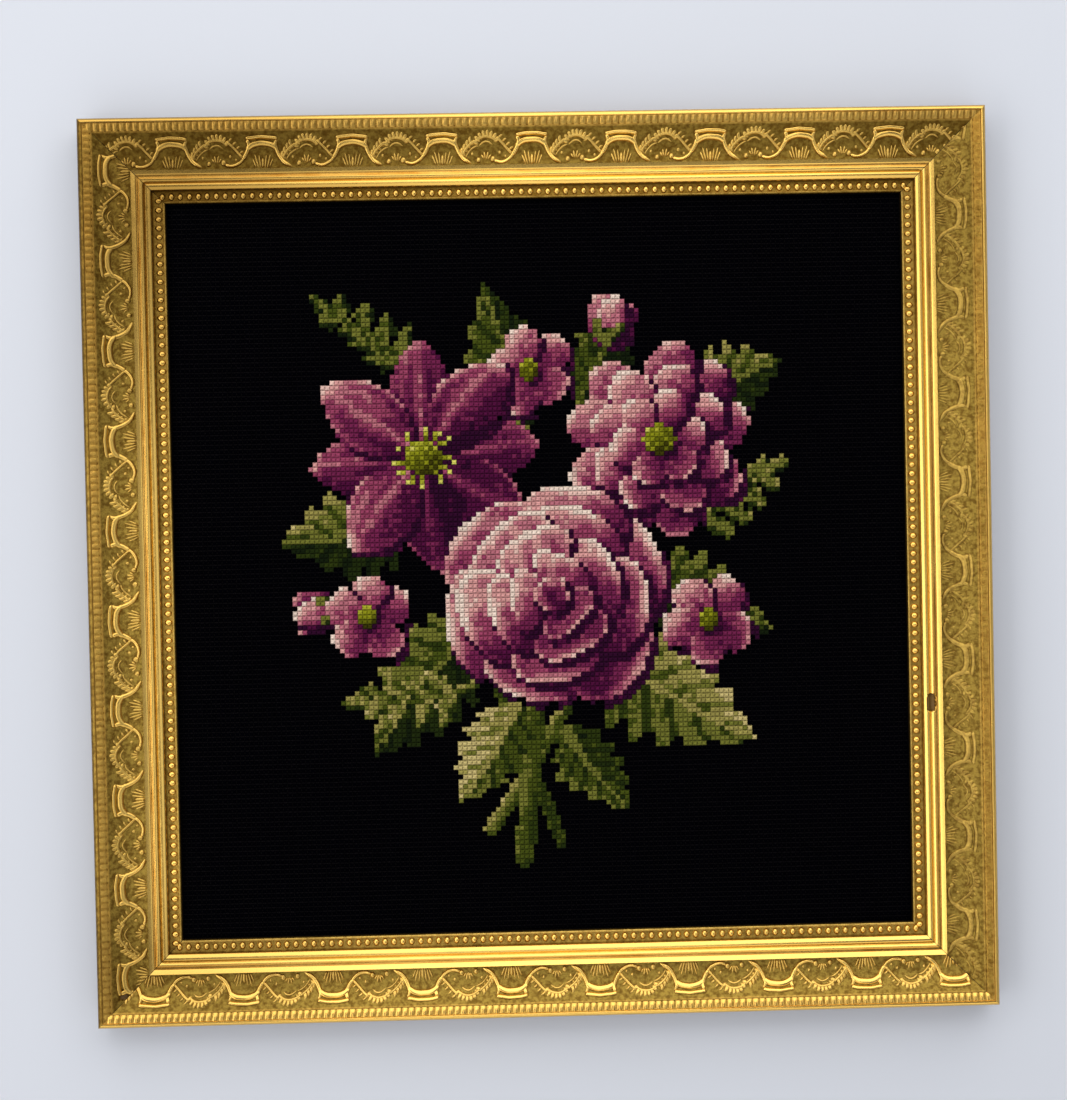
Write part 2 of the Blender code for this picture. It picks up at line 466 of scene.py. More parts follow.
MOULDING_MM = (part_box("rail_bottom")[1][1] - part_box("rail_bottom")[0][1]) / MM
MITRE_GAP_MM = 0.2
MITRE_SHUT_MM = 5.0  # from the outer side, as far as which a corner's joint is shut
HOLLOW_START_MM, HOLLOW_END_MM = 7.7, 26.9
HOLLOW_TOP_MM, HOLLOW_FOOT_MM, HOLLOW_SAG_MM = 19.6, 13.0, -2.1
REBATE_WALL_MM = 36.55
LIP_UNDER_MM = 10.0

# Each band of the section runs on from the last: where it ends across and up, how far it bows
# out, its steps, and how polished, how grimy and how red its gilding is.
BANDS = (
    (0.0, 19.0, 0.0, 6, 0.1, 1.0, 0.45),
    (0.35, 20.3, 0.2, 3, 0.6, 0.5, 0.4),
    (2.7, 21.6, 0.6, 6, 0.95, 0.0, 0.15),
    (3.0, 20.9, 0.1, 2, 0.6, 0.3, 0.4),
    (6.5, 19.9, 0.0, 5, 0.4, 0.55, 0.45),
    (6.8, 19.5, 0.0, 1, 0.3, 0.7, 0.45),
    (7.1, 19.75, 0.0, 1, 0.3, 0.5, 0.3),
    (HOLLOW_START_MM, HOLLOW_TOP_MM, 0.05, 2, 0.35, 0.5, 0.2),
    (HOLLOW_END_MM, HOLLOW_FOOT_MM, HOLLOW_SAG_MM, 26, 0.0, 0.1, 0.0),
    (26.95, 15.6, 0.0, 3, 0.4, 0.6, 0.3),
    (27.1, 16.1, 0.03, 2, 1.0, 0.0, 0.0),
    (29.35, 15.05, 0.01, 4, 1.0, 0.0, 0.0),
    (29.6, 14.7, 0.0, 2, 0.8, 0.2, 0.6),
    (31.05, 14.75, -0.06, 4, 0.9, 0.05, 0.9),
    (31.35, 15.05, 0.0, 1, 0.9, 0.1, 0.4),
    (31.8, 15.1, 0.05, 3, 1.0, 0.0, 0.1),
    (32.8, 14.5, 0.06, 4, 1.0, 0.0, 0.0),
    (33.2, 14.2, -0.03, 2, 0.75, 0.3, 0.1),
    (34.6, 15.5, 0.03, 3, 0.95, 0.1, 0.1),
    (35.5, 15.55, 0.02, 3, 1.0, 0.0, 0.0),
    (37.2, 14.45, 0.08, 5, 1.0, 0.0, 0.0),
    (37.55, 13.8, 0.05, 2, 0.6, 0.3, 0.2),
    (37.6, 11.9, 0.0, 2, 0.2, 0.7, 0.2),
    (43.0, 11.9, -0.25, 6, 0.3, 0.4, 0.1),
    (43.1, 12.6, 0.0, 1, 0.4, 0.4, 0.2),
    (43.4, 12.95, 0.05, 2, 0.5, 0.3, 0.0),
    (44.1, 12.9, 0.05, 2, 0.5, 0.3, 0.0),
    (MOULDING_MM, 12.5, 0.05, 2, 0.4, 0.4, 0.0),
    (MOULDING_MM, LIP_UNDER_MM, 0.0, 2, 0.3, 0.6, 0.2),
    (REBATE_WALL_MM, LIP_UNDER_MM, 0.0, 2, 0.0, 0.0, 0.0),
    (REBATE_WALL_MM, 0.0, 0.0, 2, 0.0, 0.0, 0.0),
)
GILT_BANDS = len(BANDS) - 2  # the last two, and the back, are bare wood


def section():
    """The moulding's section: (across, up, polish, grime, red) rows, and how many are gilt."""
    rows, gilt = [(0.0, 0.0, 0.1, 1.0, 0.6)], 0
    for n, (across, up, bow, steps, *finish) in enumerate(BANDS):
        x0, z0 = rows[-1][:2]
        for i in range(1, steps + 1):
            t = i / steps
            off = 4 * bow * t * (1 - t)
            rows.append((x0 + (across - x0) * t, z0 + (up - z0) * t + off, *finish))
        if n == GILT_BANDS - 1:
            gilt = len(rows)
    return np.array(rows), gilt


def hollow_height(across):
    """The height of the hollow that the ornament lies in."""
    t = (np.asarray(across) - HOLLOW_START_MM) / (HOLLOW_END_MM - HOLLOW_START_MM)
    return HOLLOW_TOP_MM + (HOLLOW_FOOT_MM - HOLLOW_TOP_MM) * t + 4 * HOLLOW_SAG_MM * t * (1 - t)


def turned(obj, rail):
    """Turns a piece that was made on the bottom rail to its own side of the frame."""
    obj.data.transform(Matrix.Rotation(math.radians(RAILS[rail]), 4, "Z"))
    return obj


def on_rail(along, across, up):
    """Points in the bottom rail's place."""
    return np.stack([along, across - OUTER_MM / 2, up], axis=-1)


GROUND_SHADE = {"bottom": 0.05, "top": 0.57, "left": 0.25, "right": 0.1}  # painted shade in the hollow and channel, added to their grime: most on the top rail, whose hollow faces away from the light
TORUS_SHADE = {"bottom": 0.0, "top": 0.0, "left": 0.6, "right": 0.0}  # painted shade on its outer side, on the left rail, where the light misses it
TORUS_START_MM, TORUS_CREST_MM = 33.0, 35.6
EDGE_END_MM, CHANNEL_START_MM = 2.8, 37.58
EDGE_LIT_SHARE = {"bottom": 1.0, "top": 1.0, "left": 0.25, "right": 0.75}  # of the outer roll; below 1 it is dulled and darkened as painted shade, most on the left rail, where the light misses it

CHIPS = {  # (along, across, half length, half width, depth) of each place where gesso has fallen off
    "right": ((-78.2, 33.2, 4.9, 2.5, 0.9),),
    "left": ((224.5, 13.2, 3.2, 2.4, 0.9),),
}
RAIL_STATIONS, CHIP_STATIONS = 61, 23  # places along a rail, and more of them across each chip


def moulding(rail, gilt, wood):
    """A length of moulding, mitred at both ends, with its chips."""
    rows, gilt_rows = section()
    chips = CHIPS.get(rail, ())
    share = list(np.linspace(-1, 1, RAIL_STATIONS))
    for along, across, half_length, *_ in chips:
        reach = OUTER_MM / 2 - across
        share += list((along + np.linspace(-1.3, 1.3, CHIP_STATIONS) * half_length) / reach)
    share = np.unique(np.clip(share, -1, 1))
    gap = MITRE_GAP_MM * np.clip((rows[:, 0] - MITRE_SHUT_MM) / MITRE_SHUT_MM, 0.1, 1)
    ends = OUTER_MM / 2 - rows[:, 0] - gap
    along = share[:, None] * ends[None]
    across = np.repeat(rows[None, :, 0], len(share), 0)
    up = np.repeat(rows[None, :, 1], len(share), 0)
    polish_and_shade, grime_and_shade, red = (np.repeat(rows[None, :, i], len(share), 0) for i in (2, 3, 4))
    # Painted shade on the outer roll, most on the left rail: its polish is taken off and its grime
    # raised.
    wear_and_shade = (across < EDGE_END_MM) * (1 - EDGE_LIT_SHARE[rail])
    polish_and_shade, grime_and_shade = polish_and_shade * (1 - wear_and_shade), grime_and_shade + 0.6 * wear_and_shade
    hollow = (across > HOLLOW_START_MM) & (across < HOLLOW_END_MM)
    # Painted shade in the hollow and channel by rail, and on the left rail's torus below.
    grime_and_shade = grime_and_shade + GROUND_SHADE[rail] * (hollow | (across > CHANNEL_START_MM))
    grime_and_shade = grime_and_shade + TORUS_SHADE[rail] * ((across > TORUS_START_MM) & (across < TORUS_CREST_MM))
    shown = (np.arange(len(rows)) > 0) & (np.arange(len(rows)) < gilt_rows)
    for a, c, half_length, half_width, depth in chips:
        ragged = 0.22 * np.sin(3.1 * along + 1.0) + 0.18 * np.sin(5.3 * across)
        near = ((along - a) / half_length) ** 4 + ((across - c) / half_width) ** 4 + ragged
        hole = np.clip((1 - near) / 0.35, 0, 1) * shown
        up = up - depth * hole
        grime_and_shade, polish_and_shade = np.maximum(grime_and_shade, 1.6 * hole), polish_and_shade * (1 - hole)
    points = on_rail(along, across, up).reshape(-1, 3)
    count = len(rows)
    faces = grid_faces(len(share), count, closed=True)
    faces += [tuple(range(count)), tuple((len(share) - 1) * count + i for i in reversed(range(count)))]
    obj = piece(f"moulding_{rail}", points, faces, [gilt, wood], 38)
    side_of_quad = np.tile(np.arange(count), len(share) - 1)
    slots = np.concatenate([(side_of_quad >= gilt_rows - 1).astype(int), [1, 1]])
    obj.data.polygons.foreach_set("material_index", slots.astype(np.int32))
    store(obj, "gilt", np.stack([polish_and_shade, grime_and_shade, red], -1).reshape(-1, 3))
    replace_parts(turned(obj, rail), f"rail_{rail}")
    return obj


PEARL_PITCH_MM, PEARL_ACROSS_MM, PEARL_FLOOR_MM = 4.73, 40.75, 11.6
PEARL_RADII_MM = (1.65, 2.1, 1.5)  # along the rail, across it and up
PEARL_STEPS = (12, 5)  # around it and up
RIB_PITCH_MM, RIB_START_MM, RIB_END_MM, RIB_WIDTH_MM = 3.47, 2.6, 7.0, 2.9
RIB_RISE_MM = {"bottom": 0.7, "top": 0.5, "left": 0.25, "right": 0.2}  # less on the rails where the ribs are rubbed down
# The ribs' polish by rail, lowered on the side rails as painted shade where the light misses them.
RIB_LIT_POLISH = {"bottom": 0.9, "top": 0.7, "left": 0.45, "right": 0.2}
RIB_BAND = 4  # the band of the section that the ribs stand on
RIB_SUNK_MM = 0.1  # the foot of a rib, under the band's face
RIB_STEPS = 5  # points each way on a rib


def evenly(pitch, across):
    """Places along a rail, a pitch apart and clear of the mitres."""
    reach = OUTER_MM / 2 - across - 0.45 * pitch
    count = int(2 * reach / pitch) + 1
    return (np.arange(count) - (count - 1) / 2) * (2 * reach / (count - 1))


def pearls(rail, gilt):
    """The row of pearls beside the sight edge."""
    around, up_steps = PEARL_STEPS
    angle = np.arange(around) * 2 * math.pi / around
    tilt = np.linspace(-0.25, math.pi / 2 * 0.86, up_steps)
    shape = [
        (math.cos(b) * math.cos(a), math.cos(b) * math.sin(a), math.sin(b)) for b in tilt for a in angle
    ]
    shape = np.array(shape + [(0, 0, 1)])
    quads = grid_faces(up_steps, around, closed=True)
    last = (up_steps - 1) * around
    quads += [(last + i, last + (i + 1) % around, last + around) for i in range(around)]
    points, faces, gilding = [], [], []
    for n, along in enumerate(evenly(PEARL_PITCH_MM, PEARL_ACROSS_MM)):
        radii = np.array(PEARL_RADII_MM) * RNG.uniform(0.94, 1.04)
        at = on_rail(along + RNG.normal(0, 0.06), PEARL_ACROSS_MM + RNG.normal(0, 0.04), PEARL_FLOOR_MM)
        points.append(shape * radii + at)
        faces += [tuple(i + n * len(shape) for i in f) for f in quads]
        wear_and_shade = RNG.uniform(0.75, 1.0)
        z = shape[:, 2]
        gilt_here = (wear_and_shade * np.clip(0.5 + z, 0, 1), np.clip(0.4 - z, 0, 1), np.full(len(z), 0.1))
        gilding.append(np.column_stack(gilt_here))
    obj = piece(f"pearls_{rail}", np.concatenate(points), faces, [gilt], 180)
    store(obj, "gilt", np.concatenate(gilding))
    return turned(obj, rail)


def rib_band(rail, gilt):
    """The short ribs that cross the band inside the outer roll."""
    across = np.linspace(RIB_START_MM, RIB_END_MM, RIB_STEPS)
    swell = np.array([0.0, 0.8, 1.0, 0.8, 0.0])
    angle = np.linspace(0, math.pi, RIB_STEPS)
    (start, high), (end, low) = BANDS[RIB_BAND - 1][:2], BANDS[RIB_BAND][:2]
    base = high + (across - start) * (low - high) / (end - start)
    points, faces, gilding = [], [], []
    for n, along in enumerate(evenly(RIB_PITCH_MM, (RIB_START_MM + RIB_END_MM) / 2)):
        width = RIB_WIDTH_MM * RNG.uniform(0.88, 1.08) / 2
        rise = RIB_RISE_MM[rail] * RNG.uniform(0.7, 1.1)
        for c, s, z in zip(across, swell, base):
            for a in angle:
                crown = math.sin(a)
                up = z + rise * s * crown**0.7 - RIB_SUNK_MM
                points.append(on_rail(along - width * math.cos(a), c, up))
                gilding.append((RIB_LIT_POLISH[rail] * (0.4 + 0.6 * crown), 0.5 - 0.5 * crown, 0.3))
        faces += grid_faces(RIB_STEPS, RIB_STEPS, first=RIB_STEPS**2 * n)
    obj = piece(f"ribs_{rail}", points, faces, [gilt], 180)
    store(obj, "gilt", gilding)
    return turned(obj, rail)


# The ornament in the hollow. A place in one repeat is (along from the bracket's middle, across from
# the hollow's outer edge), in millimetres, with the outer edge of the frame upwards.

REPEAT_MM = 47.8
FIRST_BRACKET_MM = {"top": -1.0, "bottom": 20.9, "left": 23.1, "right": 7.3}
ORNAMENT_STEP_MM = 0.8
# The ornament's polish by rail, lowered as painted shade where the light misses it, most on the right
# rail.
ORNAMENT_LIT_POLISH = {"bottom": 1.0, "top": 0.9, "left": 0.75, "right": 0.35}
SMALL_STROKE_POLISH = 0.7  # of the fans and leaves, beside the brackets
ORNAMENT_RELIEF = {"bottom": 1.0, "top": 0.9, "left": 0.85, "right": 0.55}

# Each stroke: its points, width, height, and how far its two ends are drawn out thin.
BRACKET = (
    (((-8.8, 4.0), (-4.5, 3.4), (0.0, 3.1), (4.5, 3.4), (8.6, 4.0)), 1.9, 1.25, 0.03),
    (((-8.3, 4.4), (-7.2, 6.0), (-7.1, 7.8), (-8.0, 10.0), (-9.4, 12.4), (-10.6, 13.8)), 2.5, 1.3, 0.08),
    (
        ((8.2, 4.4), (7.1, 6.0), (7.0, 7.8), (7.7, 9.8), (8.9, 12.4), (11.3, 15.6), (15.4, 18.0)),
        *(2.4, 1.3, 0.16),
    ),
    (
        ((-8.6, 10.4), (-7.1, 8.2), (-4.2, 6.7), (0.0, 6.2), (4.2, 6.7), (7.0, 8.2), (8.3, 10.2)),
        *(3.1, 1.5, 0.12),
    ),
    (((-9.6, 12.6), (-11.6, 15.2), (-14.6, 17.0), (-17.6, 17.3), (-20.4, 16.2)), 1.9, 1.15, 0.1),
)
FAN_FOOT = (0.0, 27.0)  # where the lines of the ribs under the arch would meet
FAN = (  # each rib's slant in degrees, where it starts and ends from there, and its width
    (-22, 9.2, 14.4, 1.0),
    (-15, 8.6, 16.0, 1.0),
    (-7.5, 8.6, 15.2, 1.0),
    (0, 8.3, 13.6, 1.5),
    (7.5, 8.6, 15.2, 1.0),
    (15, 8.6, 16.0, 1.0),
    (22, 9.2, 14.4, 1.0),
)
ACANTHUS_AXIS_MM = -23.9  # halfway to the next bracket
ACANTHUS = (  # from the leaf's own axis
    (((-6.9, 7.4), (-4.6, 5.6), (-2.0, 4.7), (0.6, 4.6), (3.2, 5.4), (5.4, 7.2)), 1.5, 1.0, 0.1),
    (((-4.2, 8.8), (-1.8, 7.2), (0.6, 7.0), (3.0, 8.4)), 1.0, 0.8, 0.2),
    (((4.6, 4.8), (7.6, 7.2), (10.6, 10.4), (13.6, 13.6)), 1.6, 1.1, 0.1),
    (((-13.2, 13.4), (-11.2, 10.4), (-8.6, 8.0), (-6.0, 6.4)), 1.7, 1.15, 0.1),
    (((-11.4, 14.4), (-9.2, 11.4), (-6.8, 9.6), (-4.6, 8.8)), 1.0, 0.8, 0.2),
)
SHELL_FOOT = (0.0, 10.0)  # where the lobes over the leaf's top would meet
SHELL = tuple((degrees, 4.9, 8.6, 2.2) for degrees in range(-66, 55, 17))
BUD_FOOT = (-0.6, 17.2)
BUD = ((-34, 1.8, 4.6, 1.0), (-12, 1.4, 5.4, 1.1), (12, 1.4, 5.4, 1.1), (34, 1.8, 4.6, 1.0))
LOBES = ((-8.6, 7.2), (-10.2, 8.8), (-11.7, 10.6), (-13.0, 12.6))  # down the leaf's fuller side
DASHES = ((6.6, 4.4), (8.6, 6.2), (10.5, 8.2), (12.2, 10.4))  # down its other side
DOTS = (  # along, across and radius
    (-20.9, 15.7, 1.4),
    (-28.6, 16.2, 1.3),
    (-31.8, 13.0, 0.7),
    (-17.2, 12.4, 0.75),
    (-14.2, 14.2, 0.6),
    (-34.6, 16.0, 0.6),
)


def rays(foot, fan, height=0.85):
    """Straight ribs that spread from one foot."""
    out = []
    for degrees, near, far, width in fan:
        x, y = math.sin(math.radians(degrees)), -math.cos(math.radians(degrees))
        ends = [(foot[0] + x * r, foot[1] + y * r) for r in (near, (near + far) / 2, far)]
        out.append((ends, width, height, 0.25))
    return out


def strokes():
    """Every stroke of one repeat."""
    drawn = list(BRACKET) + rays(FAN_FOOT, FAN)
    acanthus = list(ACANTHUS) + rays(BUD_FOOT, BUD) + rays(SHELL_FOOT, SHELL, 0.9)
    for x, y in LOBES:
        lobe = ((x + 1.4, y + 1.2), (x, y), (x - 0.5, y - 1.6), (x - 0.1, y - 2.8))
        acanthus.append((lobe, 2.1, 0.95, 0.3))
    for x, y in DASHES:
        dash = ((x - 0.4, y + 0.8), (x + 0.6, y - 0.2), (x + 1.8, y - 0.7))
        acanthus.append((dash, 1.2, 0.85, 0.35))
    for points, *form in acanthus:
        drawn.append(([(x + ACANTHUS_AXIS_MM, y) for x, y in points], *form))
    return drawn


def smooth_path(points, step):
    """Points a step apart on a smooth curve through the given ones."""
    p = np.array(points, float)
    p = np.concatenate([[2 * p[0] - p[1]], p, [2 * p[-1] - p[-2]]])
    out = []
    for a, b, c, d in zip(p[:-3], p[1:-2], p[2:-1], p[3:]):
        n = max(2, int(math.ceil(np.hypot(*(c - b)) / step)))
        for t in np.arange(n) / n:
            curve = 2 * b + (c - a) * t + (2 * a - 5 * b + 4 * c - d) * t**2
            out.append(0.5 * (curve + (3 * b - a - 3 * c + d) * t**3))
    return np.array(out + [p[-2]])


STROKE_POINTS = 7  # across a stroke
STROKE_SUNK_MM = 0.12  # its edges, under the hollow's face


def ribbon(points, width, height, thin):
    """A rounded stroke as (along, across, height, polish) rows, a few to a station."""
    path = smooth_path(points, ORNAMENT_STEP_MM)
    way = np.gradient(path, axis=0)
    way /= np.maximum(np.linalg.norm(way, axis=1, keepdims=True), 1e-6)
    side = np.column_stack([-way[:, 1], way[:, 0]])
    t = np.linspace(0, 1, len(path))
    swell = np.clip(np.minimum(t, 1 - t) / thin, 0, 1) ** 0.6 if thin else np.sqrt(4 * t * (1 - t))
    rows = []
    for p, n, s in zip(path, side, swell):
        for a in np.linspace(0, math.pi, STROKE_POINTS):
            crown = math.sin(a)
            off = 0.5 * width * (0.3 + 0.7 * s) * math.cos(a)
            rise = height * (0.15 + 0.85 * s) * crown**0.75 - STROKE_SUNK_MM
            wear_and_shade = min(1.0, 1.4 * crown) * (0.5 + 0.5 * s)
            rows.append((p[0] + n[0] * off, p[1] + n[1] * off, rise, wear_and_shade))
    return np.array(rows), len(path)


def ornament(rail, gilt):
    """Brackets, fans and leaves along one rail, cut off at the mitres."""
    drawn = [ribbon(*stroke) for stroke in strokes()]
    for along, across, radius in DOTS:
        ends = ((along - radius, across), (along, across), (along + radius, across))
        drawn.append(ribbon(ends, 2.4 * radius, 0.9 * radius, None))
    unit, sizes = zip(*drawn)
    stroke_of = np.concatenate([np.full(len(rows), i) for i, rows in enumerate(unit)])
    unit = np.concatenate(unit)
    faces_one, first = [], 0
    for stations in sizes:
        faces_one += [tuple(reversed(f)) for f in grid_faces(stations, STROKE_POINTS, first=first)]
        first += stations * STROKE_POINTS
    points, faces, gilding = [], [], []
    reach = OUTER_MM / 2 / REPEAT_MM
    phase = FIRST_BRACKET_MM[rail] / REPEAT_MM
    for n in range(math.floor(-reach - phase), math.ceil(reach - phase) + 2):
        relief = RNG.normal(1, 0.1, len(sizes))[stroke_of] * RNG.uniform(0.92, 1.05)
        relief = relief * ORNAMENT_RELIEF[rail]
        along = -(unit[:, 0] + (n + phase) * REPEAT_MM)  # the unit is drawn from the frame's outside
        across = HOLLOW_START_MM + unit[:, 1] + 0.06 * np.sin(along * 0.9)
        across = np.clip(across, HOLLOW_START_MM + 0.1, HOLLOW_END_MM - 0.1)
        up = hollow_height(across) + unit[:, 2] * relief
        # The ornament's polish, lowered by rail as painted shade where the light misses it.
        wear_and_shade = ORNAMENT_LIT_POLISH[rail] * (0.35 + 0.6 * unit[:, 3])
        wear_and_shade = wear_and_shade * np.where(stroke_of < len(BRACKET), 1.0, SMALL_STROKE_POLISH)
        gilding.append(np.column_stack([wear_and_shade, 0.45 - 0.45 * unit[:, 3], 0 * wear_and_shade]))
        faces += [tuple(i + len(points) * len(unit) for i in f) for f in faces_one]
        points.append(on_rail(along, across, up))
    obj = piece(f"ornament_{rail}", np.concatenate(points), faces, [gilt], 180)
    store(obj, "gilt", np.clip(np.concatenate(gilding), 0, 1))
    cut_at_mitres(obj)
    return turned(obj, rail)


def cut_at_mitres(obj):
    """Cuts away what runs past either end of the bottom rail."""
    bm = bmesh.new()
    bm.from_mesh(obj.data)
    for side in (-1, 1):
        corner = Vector((side * (OUTER_MM / 2 - MITRE_GAP_MM) * MM, -OUTER_MM / 2 * MM, 0))
        everything = bm.verts[:] + bm.edges[:] + bm.faces[:]
        bmesh.ops.bisect_plane(
            bm, geom=everything, dist=1e-7, plane_co=corner, plane_no=(side, 1, 0), clear_outer=True
        )
    bm.to_mesh(obj.data)
    bm.free()


# Materials


def material(name, **values):
    mat = bpy.data.materials.new(name)
    mat.use_nodes = True
    tree = mat.node_tree
    shader = tree.nodes["Principled BSDF"]
    for key, value in values.items():
        shader.inputs[key.replace("_", " ")].default_value = value
    return mat, tree, shader


def node(tree, kind, inputs=(), **settings):
    """A new node, its inputs set or linked by name or number."""
    made = tree.nodes.new(kind)
    for key, value in settings.items():
        setattr(made, key, value)
    for key, value in dict(inputs).items():
        if isinstance(value, bpy.types.NodeSocket):
            tree.links.new(value, made.inputs[key])
        else:
            made.inputs[key].default_value = value
    return made


def place(tree):
    """Where a point is in the object's own space."""
    return node(tree, "ShaderNodeTexCoord").outputs["Object"]


def noise(tree, vector, scale, detail=4.0, roughness=0.6):
    inputs = {"Vector": vector, "Scale": scale, "Detail": detail, "Roughness": roughness}
    return node(tree, "ShaderNodeTexNoise", inputs).outputs["Fac"]


def remap(tree, value, low, high, to_low=0.0, to_high=1.0):
    inputs = {"Value": value, "From Min": low, "From Max": high, "To Min": to_low, "To Max": to_high}
    return node(tree, "ShaderNodeMapRange", inputs).outputs["Result"]


def maths(tree, operation, a, b):
    return node(tree, "ShaderNodeMath", {0: a, 1: b}, operation=operation).outputs[0]


def mix(tree, factor, a, b, blend="MIX"):
    made = node(tree, "ShaderNodeMix", data_type="RGBA", blend_type=blend)
    for key, value in ((0, factor), (6, a), (7, b)):
        if isinstance(value, bpy.types.NodeSocket):
            tree.links.new(value, made.inputs[key])
        else:
            made.inputs[key].default_value = value
    return made.outputs[2]


def bump(tree, height, distance, strength=1.0, normal=None):
    inputs = {"Height": height, "Distance": distance, "Strength": strength}
    if normal is not None:
        inputs["Normal"] = normal
    return node(tree, "ShaderNodeBump", inputs).outputs["Normal"]


def colour(r, g, b):
    return (*linear((r, g, b)), 1.0)


SHADED_CORNERS = (  # painted shade on the gilding where the light falls off, most towards the top left corner: its place, the reach each way and the strength
    ((-0.197, 0.197, 0.0), (0.187, 0.155, 1.0), 0.9),
    ((-0.197, -0.21, 0.0), (0.12, 0.04, 1.0), 0.5),
    ((0.21, 0.197, 0.0), (0.06, 0.1, 1.0), 0.4),
)


def gilt_material():
    """Old gilding: burnished on what stands out, matt olive on the ground and brown in the hollows, with
    painted shade on some rails and towards three corners.
    """
    mat, tree, shader = material("gilding", Metallic=1.0)
    stored = node(tree, "ShaderNodeAttribute", attribute_name="gilt").outputs["Color"]
    parts = node(tree, "ShaderNodeSeparateColor", {"Color": stored}).outputs
    spot = place(tree)
    cloud = noise(tree, spot, 45)
    mottle = noise(tree, spot, 420)
    fine = noise(tree, spot, 900)
    polish_and_shade = maths(tree, "ADD", parts["Red"], remap(tree, cloud, 0.3, 0.7, -0.1, 0.08))
    grime_and_shade = maths(tree, "ADD", parts["Green"], remap(tree, mottle, 0.3, 0.75, -0.15, 0.2))
    red = maths(tree, "MULTIPLY", parts["Blue"], remap(tree, cloud, 0.3, 0.7, 0.4, 1.2))
    matt = remap(tree, polish_and_shade, 0.1, 0.6, 1.0, 0.0)
    ground = mix(tree, remap(tree, mottle, 0.42, 0.62), colour(166, 138, 62), colour(120, 92, 36))
    gold = mix(tree, remap(tree, polish_and_shade, 0.1, 0.85), ground, colour(252, 207, 108))
    gold = mix(tree, remap(tree, red, 0.0, 1.0, 0.0, 0.8), gold, colour(186, 118, 20))
    gold = mix(tree, remap(tree, grime_and_shade, 0.25, 1.1, 0.0, 0.9), gold, colour(98, 68, 14))
    spots = maths(tree, "MULTIPLY", matt, remap(tree, fine, 0.55, 0.65, 0.0, 0.4))
    gold = mix(tree, spots, gold, colour(104, 80, 38))
    # Darkens the gilding round each of these corners: painted shade, where the light falls off.
    for corner, reach, strength in SHADED_CORNERS:
        away = node(tree, "ShaderNodeVectorMath", {0: spot, 1: corner}, operation="SUBTRACT").outputs[0]
        away = node(tree, "ShaderNodeVectorMath", {0: away, 1: reach}, operation="DIVIDE").outputs[0]
        away = node(tree, "ShaderNodeVectorMath", {0: away}, operation="LENGTH").outputs["Value"]
        corner_shade = remap(tree, away, 0.0, 1.0, strength, 0.0)
        gold = mix(tree, corner_shade, gold, colour(160, 151, 137), "MULTIPLY")
    tree.links.new(gold, shader.inputs["Base Color"])
    tree.links.new(remap(tree, grime_and_shade, 1.25, 1.7, 1.0, 0.0), shader.inputs["Metallic"])
    rough = remap(tree, polish_and_shade, 0.0, 1.0, 0.52, 0.2)
    rough = maths(tree, "ADD", rough, remap(tree, fine, 0.3, 0.7, -0.02, 0.04))
    tree.links.new(rough, shader.inputs["Roughness"])
    waves = bump(tree, cloud, 0.0003, 0.4)
    grain = bump(tree, maths(tree, "MULTIPLY", matt, fine), 0.0003, 0.8, waves)
    tree.links.new(grain, shader.inputs["Normal"])
    return mat


def wood_material():
    """Bare softwood on the frame's back and in its rebate."""
    mat, tree, shader = material("bare_wood", Roughness=0.75)
    spot = place(tree)
    cloud = noise(tree, spot, 18)
    rings = node(
        tree,
        "ShaderNodeTexWave",
        {"Vector": spot, "Scale": 90.0, "Distortion": 9.0, "Detail": 3.0, "Detail Scale": 0.7},
        bands_direction="Z",
    ).outputs["Fac"]
    tone = mix(tree, remap(tree, cloud, 0.3, 0.7), colour(170, 126, 84), colour(196, 156, 110))
    tone = mix(tree, remap(tree, rings, 0.2, 1.0, 0.0, 0.35), tone, colour(128, 84, 50))
    tree.links.new(tone, shader.inputs["Base Color"])
    tree.links.new(bump(tree, rings, 0.0002, 0.4), shader.inputs["Normal"])
    return mat


def wool_material(name, sheen, shine):
    """Two-ply wool, in the colour stored on each stitch; shine is its specular level."""
    mat, tree, shader = material(name, Roughness=0.95, Sheen_Weight=sheen, Sheen_Roughness=0.45)
    shader.inputs["Specular IOR Level"].default_value = shine
    wool = node(tree, "ShaderNodeAttribute", attribute_name="wool").outputs["Color"]
    yarn = node(tree, "ShaderNodeAttribute", attribute_name="yarn").outputs["Vector"]
    ply = node(
        tree,
        "ShaderNodeTexWave",
        {"Vector": yarn, "Scale": 0.32, "Distortion": 1.4, "Detail": 2.0},
        bands_direction="DIAGONAL",
    ).outputs["Fac"]
    fibre = noise(tree, yarn, 6.0, detail=3)
    shaded = mix(tree, remap(tree, ply, 0.0, 1.0, 0.3, 0.0), wool, (0, 0, 0, 1))
    lifted = mix(tree, 0.5, wool, (1, 1, 1, 1), "SOFT_LIGHT")
    shaded = mix(tree, remap(tree, fibre, 0.35, 0.75, 0.0, 0.25), shaded, lifted)
    tree.links.new(shaded, shader.inputs["Base Color"])
    soft = bump(tree, ply, 0.0002, 0.7)
    tree.links.new(bump(tree, fibre, 0.00012, 0.6, soft), shader.inputs["Normal"])
    return mat


